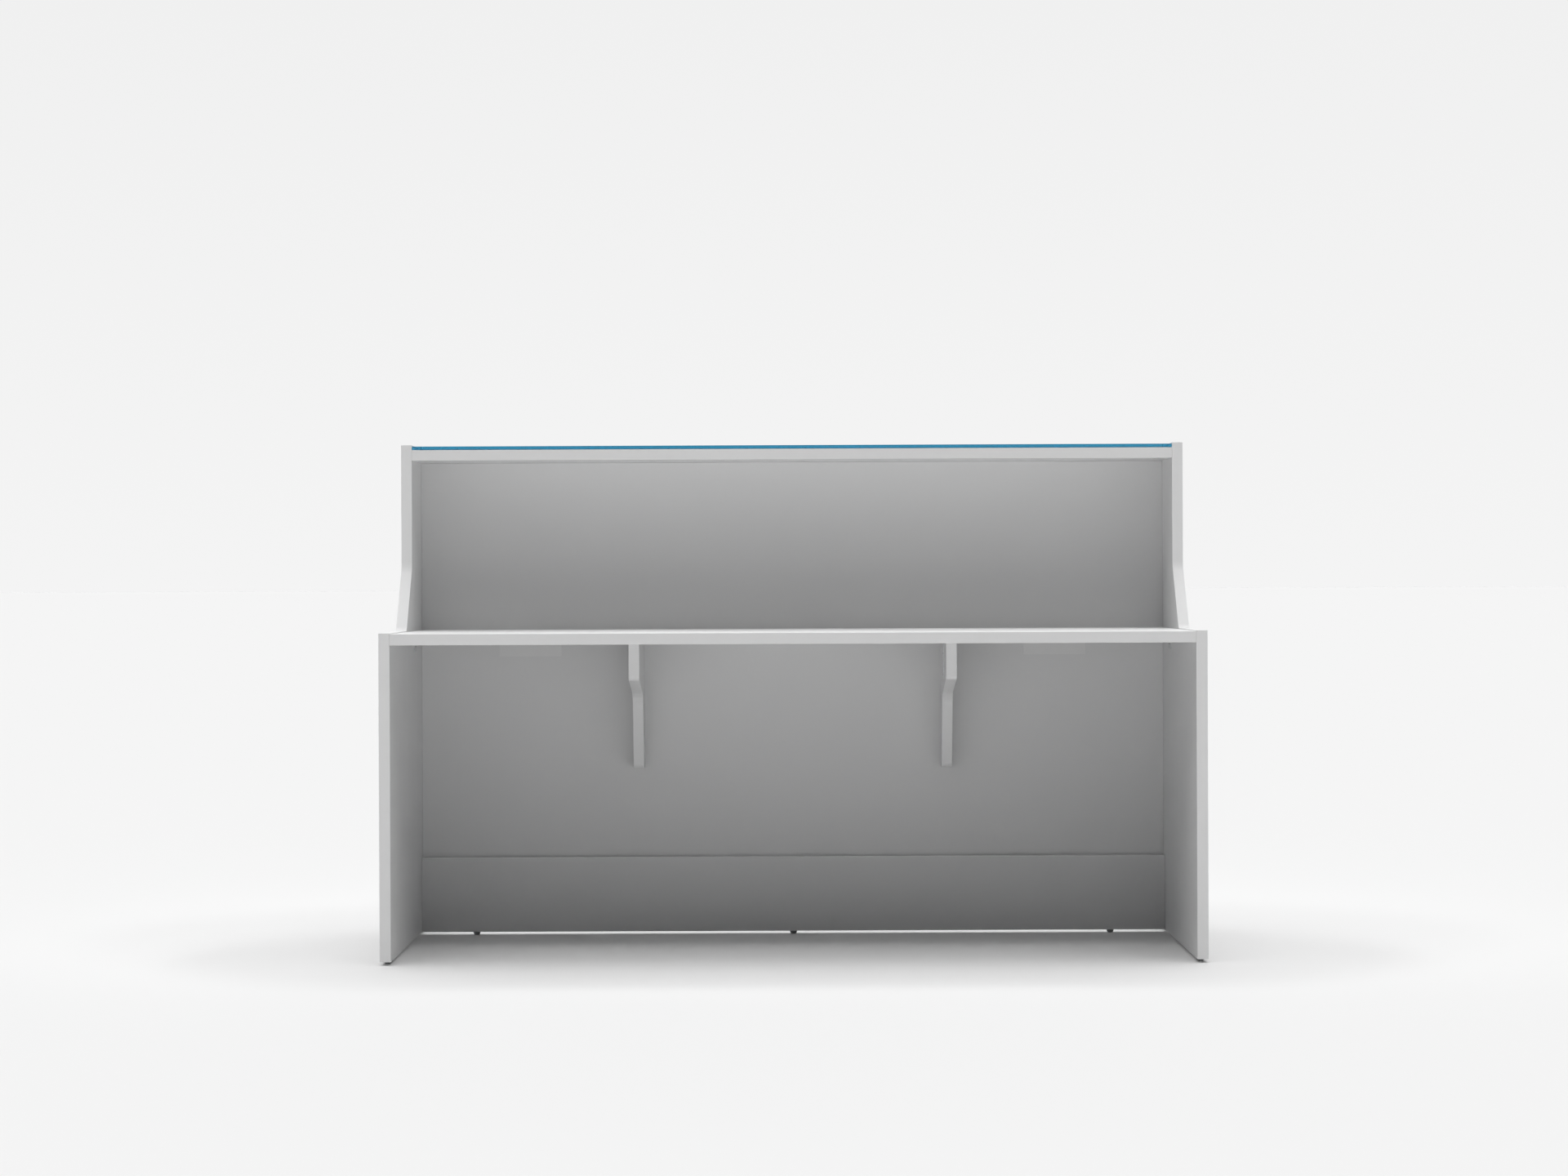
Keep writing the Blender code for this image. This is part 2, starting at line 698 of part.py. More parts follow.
def cam_fittings():
    """The cam locks under the shelf, each with its bolt and its cap."""
    bolt = bolt_mesh()
    cam = cam_mesh()
    cap = cap_mesh()
    bolt.materials.append(zinc_plate("cam_bolt"))
    cam.materials.append(zinc_plate("cam_lock"))
    cap.materials.append(white_plastic("cam_cap"))
    for edge, depth in cam_depths().items():
        y = STAFF_Y + depth
        for side, sign in (("left", -1), ("right", 1)):
            point = Vector((sign * INNER_HALF, y, SHELF_BOTTOM + BOARD / 2))
            inwards = Vector((-sign, 0, 0))
            axis_point = point + inwards * CAM_REACH
            underside = axis_point - Vector((0, 0, BOARD / 2))
            name = f"shelf_{side}_{edge}_cam"
            turn = Matrix.Rotation(pi if side == "left" else 0, 4, "Z")
            new_object(name + "_bolt", bolt).matrix_world = place_along(point, inwards)
            new_object(name + "_lock", cam).matrix_world = Matrix.Translation(axis_point) @ turn
            cap_seat = underside - Vector((0, 0, SEAT_GAP))
            new_object(name + "_cap", cap).matrix_world = place_along(cap_seat, (0, 0, -1))
            add_hole(BORES, side + "_side_panel", point, -inwards, BOLT_THREAD_RADIUS + SEAT_GAP,
                     BOLT_THREAD_LENGTH + SEAT_GAP)
            add_hole(BORES, "top_shelf", point, inwards, BOLT_BORE_RADIUS, CAM_REACH)
            add_hole(POCKETS, "top_shelf", underside, (0, 0, 1), CAM_RADIUS, CAM_DEPTH)


# Fixing angles

def angle_mesh(name, leg_down, leg_out, length):
    """A bent steel angle along Z. From the bend at the origin one leg runs down and one out along X."""
    corners = [
        Vector((0, -leg_down)),
        Vector((SHEET, -leg_down)),
        Vector((SHEET, -SHEET)),
        Vector((leg_out, -SHEET)),
        Vector((leg_out, 0)),
        Vector((0, 0)),
    ]
    radii = [0, 0, SHEET_BEND - SHEET, 0, 0, SHEET_BEND]
    return flat_mesh(name, [rounded(corners, radii)], length)


def upright_frame(outwards):
    """Rotation that takes X to a level direction and Y to up."""
    x_axis = Vector(outwards)
    y_axis = Vector((0, 0, 1))
    z_axis = x_axis.cross(y_axis)
    return Matrix((x_axis, y_axis, z_axis)).transposed().to_4x4()


def fixing_angle(name, legs, length, place, down_screws, out_screws, material):
    """A steel angle under the worktop. A screw hole is its distance from the bend and its place along Z."""
    holes = [(Vector((SHEET, -distance, z)), Vector((-1, 0, 0))) for distance, z in down_screws]
    holes += [(Vector((distance, -SHEET, z)), Vector((0, 1, 0))) for distance, z in out_screws]
    drills = []
    for face, into in holes:
        drill = rod_mesh("drill", SCREW_HOLE_RADIUS, SHEET + 2 * OVERRUN, SMALL_SIDES)
        drill.transform(place_along(face - into * OVERRUN, into))
        drills.append(drill)
    piece = new_object(name, cut_mesh(name, angle_mesh(name, *legs, length), drills))
    piece.matrix_world = place
    piece.data.materials.append(material)


def shares_along(length, shares):
    """Places along a length that has its middle at zero."""
    return [length * share - length / 2 for share in shares]


def fixing_angles():
    """The steel angles that hold the worktop to the side panels, the brackets and the front panel."""
    seat = WORKTOP_BOTTOM - SEAT_GAP
    side_y = STAFF_Y + SIDE_ANGLE_DEPTH
    bracket_y = STAFF_Y + FRONT_FACE - BRACKET_REACH + BRACKET_ANGLE_SETBACK
    front_y = STAFF_Y + FRONT_FACE - SEAT_GAP
    front_x = (BRACKET_X + INNER_HALF) / 2
    side_holes = [(SIDE_ANGLE_LEG / 2, z) for z in shares_along(SIDE_ANGLE_LENGTH, ANGLE_SCREW_SHARES)]
    front_holes = [(FRONT_ANGLE_LEG / 2, z) for z in shares_along(FRONT_ANGLE_LENGTH, ANGLE_SCREW_SHARES)]
    tall_holes = [(BRACKET_ANGLE_TALL_LEG * share, 0) for share in TALL_LEG_SCREW_SHARES]
    short_holes = [(BRACKET_ANGLE_SHORT_LEG * SHORT_LEG_SCREW_SHARE, 0)]
    for side, sign in (("left", -1), ("right", 1)):
        name = side + "_worktop_angle"
        place = Matrix.Translation((sign * BOARD_HALF, side_y, seat)) @ upright_frame((-sign, 0, 0))
        fixing_angle(name, (SIDE_ANGLE_LEG, SIDE_ANGLE_LEG), SIDE_ANGLE_LENGTH, place,
                     side_holes, side_holes, zinc_plate(name))
        name = side + "_bracket_angle"
        left_face = sign * BRACKET_X - BOARD / 2 - SEAT_GAP
        place = Matrix.Translation((left_face, bracket_y, seat)) @ upright_frame((-1, 0, 0))
        fixing_angle(name, (BRACKET_ANGLE_TALL_LEG, BRACKET_ANGLE_SHORT_LEG), BRACKET_ANGLE_LENGTH, place,
                     tall_holes, short_holes, zinc_plate(name))
        name = side + "_front_angle"
        place = Matrix.Translation((sign * front_x, front_y, seat)) @ upright_frame((0, -1, 0))
        fixing_angle(name, (FRONT_ANGLE_LEG, FRONT_ANGLE_LEG), FRONT_ANGLE_LENGTH, place,
                     front_holes, front_holes, white_powder_coat(name))


# Levelling feet

def foot_places():
    """Each foot's name and place, with the board and the band that it is screwed into."""
    staff_y = STAFF_Y + SIDE_FOOT_INSET
    visitor_y = STAFF_Y + OVERALL_DEPTH - SIDE_FOOT_INSET
    plinth_y = STAFF_Y + PLINTH_FACE + BOARD / 2
    plinth_x = INNER_HALF - PLINTH_FOOT_INSET
    left = ("left_side_panel", "left_side_edge_band")
    right = ("right_side_panel", "right_side_edge_band")
    low = ("plinth_panel", "plinth_bottom_edge_band")
    return [
        ("staff_left_foot", -SIDE_MIDDLE, staff_y, left),
        ("visitor_left_foot", -SIDE_MIDDLE, visitor_y, left),
        ("staff_right_foot", SIDE_MIDDLE, staff_y, right),
        ("visitor_right_foot", SIDE_MIDDLE, visitor_y, right),
        ("plinth_left_foot", -plinth_x, plinth_y, low),
        ("plinth_middle_foot", 0, plinth_y, low),
        ("plinth_right_foot", plinth_x, plinth_y, low),
    ]


def foot_mesh():
    """A levelling foot: a domed glide under a threaded stud. It stands on the origin."""
    head_top = FOOT_HEIGHT - SEAT_GAP
    dome_top = head_top - FOOT_RIM
    stud_top = FOOT_HEIGHT + STUD_LENGTH
    profile = [
        (0, stud_top),
        (STUD_RADIUS - STUD_CHAMFER, stud_top),
        (STUD_RADIUS, stud_top - STUD_CHAMFER),
        (STUD_RADIUS, head_top),
        (FOOT_RADIUS, head_top),
    ]
    for step in range(DOME_STEPS + 1):
        turn = radians(90) * step / DOME_STEPS
        radius = FOOT_FLAT_RADIUS + (FOOT_RADIUS - FOOT_FLAT_RADIUS) * cos(turn)
        profile.append((radius, dome_top * (1 - sin(turn))))
    profile.append((0, 0))
    return turned_mesh("levelling_foot", profile, ROUND_SIDES)


def sleeve_mesh():
    """A threaded sleeve as a plain ring. Its mouth is at the origin and it runs up."""
    outer = SLEEVE_RADIUS - SEAT_GAP
    inner = STUD_RADIUS + SEAT_GAP
    profile = [(outer, SLEEVE_LENGTH), (outer, 0), (inner, 0), (inner, SLEEVE_LENGTH)]
    return turned_mesh("foot_insert", profile, SMALL_SIDES, is_ring=True)


def feet():
    """The feet, each on its own thread's axis and in its own sleeve."""
    foot = foot_mesh()
    sleeve = sleeve_mesh()
    foot.materials.append(grey_plastic("levelling_foot"))
    sleeve.materials.append(zinc_plate("foot_insert"))
    for name, x, y, (board, band) in foot_places():
        mouth = Vector((x, y, FOOT_HEIGHT))
        new_object(name, foot).location = (x, y, 0)
        new_object(name + "_insert", sleeve).location = mouth
        add_hole(BORES, board, mouth, (0, 0, 1), SLEEVE_RADIUS, SLEEVE_LENGTH + SEAT_GAP)
        add_hole(BORES, band, mouth, (0, 0, 1), SLEEVE_RADIUS, BAND_SEAT)


side_panels()
worktop()
top_shelf()
glass_top()
front_panel()
plinth()
brackets()
dowels()
cam_fittings()
fixing_angles()
feet()
cut_holes(BORES, "bores")
cut_holes(POCKETS, "pockets")
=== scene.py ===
"""Looks of the reception counter: finishes, fine bands, glass, screws and feet, light and camera.

Lengths are in metres. X runs across the counter, Y from the staff side to the visitor side, and Z up.
"""

import json
from math import ceil, cos, pi, radians, sin, sqrt, tan, tau

import bmesh
import bpy
from mathutils import Matrix, Vector
from mathutils.geometry import intersect_line_line


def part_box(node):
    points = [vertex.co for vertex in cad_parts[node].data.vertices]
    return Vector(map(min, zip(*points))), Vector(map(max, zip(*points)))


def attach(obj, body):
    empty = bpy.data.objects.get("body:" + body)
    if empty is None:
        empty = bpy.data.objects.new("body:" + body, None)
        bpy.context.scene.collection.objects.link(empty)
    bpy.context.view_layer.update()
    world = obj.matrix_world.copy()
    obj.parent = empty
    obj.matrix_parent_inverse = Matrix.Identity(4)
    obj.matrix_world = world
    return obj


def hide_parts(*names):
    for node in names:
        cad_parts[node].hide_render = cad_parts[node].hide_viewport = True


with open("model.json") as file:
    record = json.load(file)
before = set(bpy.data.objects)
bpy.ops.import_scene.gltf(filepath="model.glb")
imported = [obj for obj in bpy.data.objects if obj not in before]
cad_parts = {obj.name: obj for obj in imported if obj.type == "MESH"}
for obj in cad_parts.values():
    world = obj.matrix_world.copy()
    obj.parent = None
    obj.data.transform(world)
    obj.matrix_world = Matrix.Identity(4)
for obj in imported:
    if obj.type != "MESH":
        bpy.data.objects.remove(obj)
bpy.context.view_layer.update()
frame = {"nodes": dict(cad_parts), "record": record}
NODES = frame["nodes"]
BODY = "counter"

# Boards and bands
BAND = 0.002
BAND_GLUE = 0.00022
BAND_ARRIS = 0.0008
ARRIS_STEPS = 4
ARC_STEP = radians(3)

# Edges that turn by more than this are sharp: on round forms, and on pieces whose flat faces stay flat
ROUND_CREASE = radians(32)
FLAT_CREASE = radians(8)

# Side panel outline, as in the solids
UPPER_SETBACK = 0.483
SLOPE_RUN = 0.126
SLOPE_RISE = 0.146
SLOPE_FOOT_RADIUS = 0.030
SLOPE_TOP_RADIUS = 0.040
DESK_SIDE_TOP = 0.742

# Bracket outline, as in the solids
BRACKET_TIP = 0.091
BRACKET_THROAT_REACH = 0.095
BRACKET_THROAT_DROP = 0.130
BRACKET_FOOT_REACH = 0.044
BRACKET_TIP_RADIUS = 0.014
BRACKET_THROAT_RADIUS = 0.045
BRACKET_FOOT_RADIUS = 0.016

# Glass top
GLASS_ARRIS = 0.001
PAINT_THICKNESS = 0.00012
PAINT_MARGIN = 0.0004
PAINT_INTO_GLASS = 0.00005
GLASS_ARRIS_STEPS = 3
GLASS_ARRIS_PROFILE = 0.6

# Screws of the fixing angles. The angles' sheet and hole places are as in the solids
SHEET = 0.002
SCREW_HEAD_RADIUS = 0.0036
SCREW_HEAD_HEIGHT = 0.0021
SCREW_HEAD_FLAT_SHARE = 0.45
SCREW_HEAD_RIM_SHARE = 0.3
SCREW_HEAD_STEPS = 5
SCREW_CORE_RADIUS = 0.0013
SCREW_THREAD_RADIUS = 0.0019
SCREW_PITCH = 0.0016
SCREW_LENGTH = 0.015
SCREW_POINT_RADIUS = 0.0002
RECESS_ARM = 0.0021
RECESS_ARM_AT_BOTTOM = 0.0008
RECESS_WIDTH = 0.0009
RECESS_DEPTH = 0.0014
SCREW_TURN = radians(35)

# Threads, as shares of the core's radius and of the pitch
THREAD_ROOT = 0.9
THREAD_HALF_FOOT = 0.45
THREAD_HALF_CREST = 0.07

# Feet, inside the solids' outline
FOOT_RADIUS = 0.0085
FOOT_TOP = 0.0077
FOOT_GRIP = 0.0015
FOOT_FLAT_RADIUS = 0.0035
FOOT_DOME_STEPS = 10
FOOT_ARRIS = 0.0004
FOOT_FLUTES = 20
FLUTE_SIDES = 6
FLUTE_DEPTH = 0.00035
FLUTE_FADE_POWER = 8
STUD_RADIUS = 0.003
STUD_CORE_RADIUS = 0.0025
STUD_TOP = 0.032
STUD_PITCH = 0.001

# Threaded sleeves of the feet
SLEEVE_RADIUS = 0.0047
SLEEVE_GROOVE_RADIUS = 0.0043
SLEEVE_BORE_RADIUS = 0.0033
SLEEVE_CHAMFER = 0.0005
SLEEVE_BARB = 0.003
SLEEVE_BARB_CREST = 0.4
SLEEVE_BARB_FOOT = 0.3

# Cover caps
CAP_THICKNESS = 0.0012
CAP_ROUNDING = 0.0006
CAP_CROWN = 0.0002
CAP_SPIGOT_RADIUS = 0.0006
CAP_FLAT_SHARE = 0.3
CAP_CROWN_SHARE = 0.8
CAP_RIM_STEPS = 5

ROUND_SIDES = 40
SMALL_SIDES = 20

# Camera, nearly level, in front of the side panels' staff edges
PHOTO_WIDTH = 1920
FOCAL_PIXELS = 4317.7
SENSOR_WIDTH = 36
CAMERA_SIDE = -0.0134
CAMERA_DISTANCE = 7.865
CAMERA_HEIGHT = 0.8584
CAMERA_YAW = radians(0.043)
CAMERA_PITCH = radians(-0.135)
CAMERA_ROLL = radians(-0.2275)

# Light on a level surface in the open, where 1 in all shows a colour as it is written. Most of it comes
# from a ring high above the horizon, whose height is the sine of its elevation
RING_LIGHT = 0.77
RING_HEIGHT = 0.835
RING_WIDTH = 0.035
OVERHEAD_LIGHT = 0.24
OVERHEAD_POWER = 30
BEHIND_GLOW = 1.6
BEHIND_WIDTH = 0.35
FLOOR_COLOUR = 0.855
FLOOR_HALF = 300.0
BACKGROUND_LOW = 0.905
BACKGROUND_HIGH = 0.871
BACKGROUND_FADE = 0.17


# Materials

def connect(tree, output, target):
    """Links an output socket to an input socket."""
    tree.links.new(output, target)


def new_finish(name, roughness, metallic=0.0, specular=0.5):
    """A material with its tree and shader. Values that are the same all over are set on the shader."""
    material = bpy.data.materials.new(name)
    material.use_nodes = True
    tree = material.node_tree
    shader = tree.nodes["Principled BSDF"]
    shader.inputs["Roughness"].default_value = roughness
    shader.inputs["Metallic"].default_value = metallic
    shader.inputs["Specular IOR Level"].default_value = specular
    return material, tree, shader


def place(tree, stretch=(1, 1, 1)):
    """The object's own coordinates, stretched."""
    coordinates = tree.nodes.new("ShaderNodeTexCoord")
    mapping = tree.nodes.new("ShaderNodeMapping")
    mapping.inputs["Scale"].default_value = stretch
    connect(tree, coordinates.outputs["Object"], mapping.inputs["Vector"])
    return mapping.outputs["Vector"]


def noise(tree, vector, scale, detail=2.0, roughness=0.5):
    """A noise pattern."""
    node = tree.nodes.new("ShaderNodeTexNoise")
    node.inputs["Scale"].default_value = scale
    node.inputs["Detail"].default_value = detail
    node.inputs["Roughness"].default_value = roughness
    connect(tree, vector, node.inputs["Vector"])
    return node.outputs["Fac"]


def spread(tree, value, low, high, start=0.3, end=0.7):
    """Maps a pattern's middle range to another range."""
    node = tree.nodes.new("ShaderNodeMapRange")
    node.inputs["From Min"].default_value = start
    node.inputs["From Max"].default_value = end
    node.inputs["To Min"].default_value = low
    node.inputs["To Max"].default_value = high
    connect(tree, value, node.inputs["Value"])
    return node.outputs["Result"]


def colours(tree, value, first, second):
    """Mixes two colours by a pattern."""
    node = tree.nodes.new("ShaderNodeMix")
    node.data_type = "RGBA"
    node.inputs["A"].default_value = (*first, 1)
    node.inputs["B"].default_value = (*second, 1)
    connect(tree, value, node.inputs["Factor"])
    return node.outputs["Result"]


def emboss(tree, shader, height, distance, strength=1.0, under=None):
    """Gives a surface relief from a pattern, over any relief that it has."""
    node = tree.nodes.new("ShaderNodeBump")
    node.inputs["Distance"].default_value = distance
    node.inputs["Strength"].default_value = strength
    connect(tree, height, node.inputs["Height"])
    if under is not None:
        connect(tree, under, node.inputs["Normal"])
    connect(tree, node.outputs["Normal"], shader.inputs["Normal"])
    return node.outputs["Normal"]


def mottled(name, roughness, cloud, first, second, gloss=None, reliefs=(), metallic=0.0, specular=0.5):
    """A finish in clouds of two colours, with uneven gloss and fine relief where they are given.

    Each is a noise pattern's scale and detail, and then what it does: gloss has its lowest and highest
    roughness, and a relief its depth and strength.
    """
    material, tree, shader = new_finish(name, roughness, metallic, specular)
    at = place(tree)
    connect(tree, colours(tree, noise(tree, at, *cloud), first, second), shader.inputs["Base Color"])
    if gloss:
        scale, detail, smoothest, roughest = gloss
        uneven = spread(tree, noise(tree, at, scale, detail), smoothest, roughest)
        connect(tree, uneven, shader.inputs["Roughness"])
    under = None
    for scale, detail, depth, strength in reliefs:
        under = emboss(tree, shader, noise(tree, at, scale, detail), depth, strength, under)
    return material


def melamine(name, first, second):
    """White melamine with a fine pearl texture and barely uneven gloss."""
    return mottled(name, 0.48, (2.3, 3.0), first, second, gloss=(14, 4.0, 0.44, 0.53),
                   reliefs=((900, 2.0, 0.00006, 0.5), (2600, 1.0, 0.00002, 0.4)), specular=0.4)


def edge_plastic():
    """White edge banding, smoother than the board, with fine drawing marks. Its tone, a little whiter
    than the board, is painted light, standing in for light from the front on the board edges.
    """
    # Painted light: the band's whiter tone stands in for light from the front on the edges
    return mottled("edge_plastic_painted_light", 0.4, (9, 2.0), (0.880, 0.881, 0.883), (0.897, 0.898, 0.899),
                   gloss=(60, 3.0, 0.34, 0.45), reliefs=((1300, 3.0, 0.00003, 0.5),), specular=0.45)


def clear_glass():
    """Clear float glass that turns blue along its length."""
    material, tree, shader = new_finish("blue_float_glass", 0.02)
    shader.inputs["Base Color"].default_value = (0.97, 0.99, 1.0, 1)
    shader.inputs["Transmission Weight"].default_value = 1.0
    shader.inputs["IOR"].default_value = 1.52
    absorption = tree.nodes.new("ShaderNodeVolumeAbsorption")
    absorption.inputs["Color"].default_value = (0.0, 0.927, 0.956, 1)
    absorption.inputs["Density"].default_value = 60
    connect(tree, absorption.outputs["Volume"], tree.nodes["Material Output"].inputs["Volume"])
    return material


def blue_paint():
    """Blue paint on the back of the glass."""
    return mottled("blue_glass_paint", 0.35, (6, 4.0), (0.006, 0.350, 0.560), (0.012, 0.385, 0.610))


def zinc():
    """Bright zinc plate with its faint grain and rubbed patches."""
    return mottled("bright_zinc", 0.34, (160, 4.0), (0.60, 0.62, 0.64), (0.80, 0.80, 0.79),
                   gloss=(420, 3.0, 0.26, 0.46), reliefs=((2400, 2.0, 0.00002, 0.4),), metallic=1.0)


def nickel():
    """Nickel plate of the screws: a little darker, warmer and smoother than the zinc."""
    return mottled("nickel_plate", 0.24, (300, 3.0), (0.40, 0.385, 0.36), (0.50, 0.485, 0.46),
                   gloss=(900, 2.0, 0.18, 0.32), reliefs=((3000, 2.0, 0.00001, 0.3),), metallic=1.0)


def powder_coat():
    """White powder coat with its soft orange peel."""
    return mottled("white_powder_coat", 0.45, (40, 2.0), (0.80, 0.80, 0.80), (0.83, 0.83, 0.83),
                   reliefs=((700, 2.0, 0.00008, 0.5),))


def beech():
    """Beech with fine straight grain along the dowel and short dark flecks."""
    material, tree, shader = new_finish("turned_beech", 0.6, specular=0.3)
    grain = noise(tree, place(tree, (60, 900, 900)), 1.0, 4.0, 0.6)
    tone = colours(tree, spread(tree, grain, 0, 1), (0.52, 0.33, 0.18), (0.72, 0.54, 0.35))
    connect(tree, tone, shader.inputs["Base Color"])
    emboss(tree, shader, grain, 0.00005, 0.6)
    return material


def foot_plastic():
    """Grey moulded plastic with a fine matt grain."""
    return mottled("grey_foot_plastic", 0.42, (220, 3.0), (0.27, 0.275, 0.28), (0.33, 0.335, 0.34),
                   gloss=(700, 2.0, 0.36, 0.52), reliefs=((2200, 2.0, 0.00004, 0.6),))


def cap_plastic():
    """White moulded plastic of the cover caps."""
    return mottled("white_cap_plastic", 0.38, (120, 2.0), (0.79, 0.79, 0.785), (0.82, 0.82, 0.815),
                   reliefs=((1800, 2.0, 0.00003, 0.5),))


FINISHES = {
    "melamine": melamine("white_melamine", (0.764, 0.765, 0.767), (0.785, 0.786, 0.787)),
    "edge_band": edge_plastic(),
    "blue_glass": clear_glass(),
    "zinc": zinc(),
    "powder_coat": powder_coat(),
    "beech": beech(),
    "foot_plastic": foot_plastic(),
    "cap_plastic": cap_plastic(),
}
BLUE_PAINT = blue_paint()
NICKEL = nickel()
# Painted light: a whiter copy of the board melamine for the worktop, standing in for light from above,
# not a whiter board
WORKTOP_MELAMINE_PAINTED_LIGHT = melamine("worktop_melamine_painted_light", (0.845, 0.846, 0.848), (0.862, 0.863, 0.864))


def dress_solids():
    """Gives each solid of the frame the finish of its slot, and the worktop a whiter copy of the
    melamine. That copy is painted light: it stands in for more light falling on the worktop from above.
    """
    for part in frame["record"]["subparts"]:
        finish = WORKTOP_MELAMINE_PAINTED_LIGHT if part["node"] == "worktop" else FINISHES[part["material_slot"]]
        for slot in NODES[part["node"]].material_slots:
            slot.material = finish


# Meshes and pieces

def to_mesh(shape, name, crease=ROUND_CREASE):
    """A new smooth shaded mesh from a bmesh, which is freed."""
    bmesh.ops.recalc_face_normals(shape, faces=shape.faces)
    mesh = bpy.data.meshes.new(name)
    shape.to_mesh(mesh)
    shape.free()
    mesh.shade_smooth()
    mesh.set_sharp_from_angle(angle=crease)
    return mesh


def add_piece(name, mesh, slot, body=BODY, stands_for=(), finish=None, where=Matrix()):
    """A piece that rides on a body and takes a slot's finish."""
    piece = bpy.data.objects.new(name, mesh)
    bpy.context.scene.collection.objects.link(piece)
    piece.matrix_world = where
    if not mesh.materials:
        mesh.materials.append(finish or FINISHES[slot])
    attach(piece, body)
    if stands_for:
        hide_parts(*stands_for)
    return piece


def loft(shape, rings, is_closed):
    """Adds a skin through rings that have as many points each. An open one gets end caps."""
    rows = [[shape.verts.new(point) for point in ring] for ring in rings]
    count = len(rows[0])
    pairs = list(zip(rows, rows[1:]))
    if is_closed:
        pairs.append((rows[-1], rows[0]))
    for row, following in pairs:
        for i in range(count):
            j = (i + 1) % count
            shape.faces.new((row[i], row[j], following[j], following[i]))
    if not is_closed:
        shape.faces.new(rows[0])
        shape.faces.new(rows[-1])


def turned(shape, profile, sides):
    """Adds a round form from (radius, height) points that run from one flat end to the other."""
    turns = [tau * i / sides for i in range(sides)]
    rings = [[(radius * cos(turn), radius * sin(turn), height) for turn in turns]
             for radius, height in profile]
    loft(shape, rings, False)


def thread(shape, core, crest, pitch, low, high):
    """Adds a thread's ridge round Z, which rises out of the core and runs out at both ends."""
    count = round((high - low) / pitch * SMALL_SIDES)
    rings = []
    for i in range(count + 1):
        turn = tau * i / SMALL_SIDES
        middle = low + (high - low) * i / count
        rise = min(1, 2 * i / SMALL_SIDES, 2 * (count - i) / SMALL_SIDES)
        radius = core + (crest - core) * rise
        foot = pitch * THREAD_HALF_FOOT
        crest_half = pitch * THREAD_HALF_CREST
        section = [(core * THREAD_ROOT, middle - foot), (core * THREAD_ROOT, middle + foot),
                   (radius, middle + crest_half), (radius, middle - crest_half)]
        rings.append([(arm * cos(turn), arm * sin(turn), height) for arm, height in section])
    loft(shape, rings, False)


def aimed(point, direction):
    """The placement that takes the origin to a point and +Z to a direction."""
    turn = Vector((0, 0, 1)).rotation_difference(direction)
    return Matrix.Translation(point) @ turn.to_matrix().to_4x4()


# Outlines, as corner points run anticlockwise

def inset_corners(corners, insets):
    """The corners of a polygon after each of its sides has moved inwards by its own inset."""
    lines = []
    for i, corner in enumerate(corners):
        following = corners[(i + 1) % len(corners)]
        along = (following - corner).normalized()
        shift = Vector((-along.y, along.x)) * insets[i]
        lines.append(((corner + shift).to_3d(), (following + shift).to_3d()))
    return [intersect_line_line(*lines[i - 1], *lines[i])[0].to_2d() for i in range(len(corners))]


def inset_radii(corners, radii, inset):
    """Radii for the polygon moved inwards: smaller where it turns left, larger where it turns right."""
    moved = []
    for i, radius in enumerate(radii):
        arriving = corners[i] - corners[i - 1]
        leaving = corners[(i + 1) % len(corners)] - corners[i]
        grown = radius - inset if arriving.cross(leaving) > 0 else radius + inset
        moved.append(max(grown, 0) if radius else 0)
    return moved


def rounded(corners, radii):
    """Outline points of a polygon whose corners are rounded by arcs."""
    points = []
    for i, corner in enumerate(corners):
        if not radii[i]:
            points.append(corner)
            continue
        back = (corners[i - 1] - corner).normalized()
        ahead = (corners[(i + 1) % len(corners)] - corner).normalized()
        half_angle = back.angle(ahead) / 2
        centre = corner + (back + ahead).normalized() * (radii[i] / sin(half_angle))
        arm = corner + back * (radii[i] / tan(half_angle)) - centre
        turn = pi - 2 * half_angle
        if back.cross(ahead) > 0:
            turn = -turn
        steps = ceil(abs(turn) / ARC_STEP)
        for step in range(steps + 1):
            points.append(centre + Matrix.Rotation(turn * step / steps, 2) @ arm)
    return points


def side_outline(inset):
    """A side panel's rounded outline as (y, z), drawn in all round."""
    low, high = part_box("left_side_edge_band")
    step_y = low.y + UPPER_SETBACK
    corners = [
        Vector((low.y, low.z)),
        Vector((high.y, low.z)),
        Vector((high.y, high.z)),
        Vector((step_y, high.z)),
        Vector((step_y, DESK_SIDE_TOP + SLOPE_RISE)),
        Vector((step_y - SLOPE_RUN, DESK_SIDE_TOP)),
        Vector((low.y, DESK_SIDE_TOP)),
    ]
    radii = [0, 0, 0, 0, SLOPE_TOP_RADIUS, SLOPE_FOOT_RADIUS, 0]
    moved = inset_corners(corners, [inset] * len(corners))
    return rounded(moved, inset_radii(corners, radii, inset))


def bracket_outline(inset):
    """A bracket's rounded outline as (y, z) from its arm's top round to its foot's back, drawn in."""
    low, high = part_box("left_bracket_edge_band")
    corners = [
        Vector((low.y, high.z)),
        Vector((low.y, high.z - BRACKET_TIP)),
        Vector((high.y - BRACKET_THROAT_REACH, high.z - BRACKET_THROAT_DROP)),
        Vector((high.y - BRACKET_FOOT_REACH, low.z)),
        Vector((high.y, low.z)),
        Vector((high.y, high.z)),
    ]
    radii = [0, BRACKET_TIP_RADIUS, BRACKET_THROAT_RADIUS, BRACKET_FOOT_RADIUS, 0, 0]
    moved = inset_corners(corners, [inset, inset, inset, inset, 0, 0])
    return rounded(moved, inset_radii(corners, radii, inset))[:-1]


# Bands

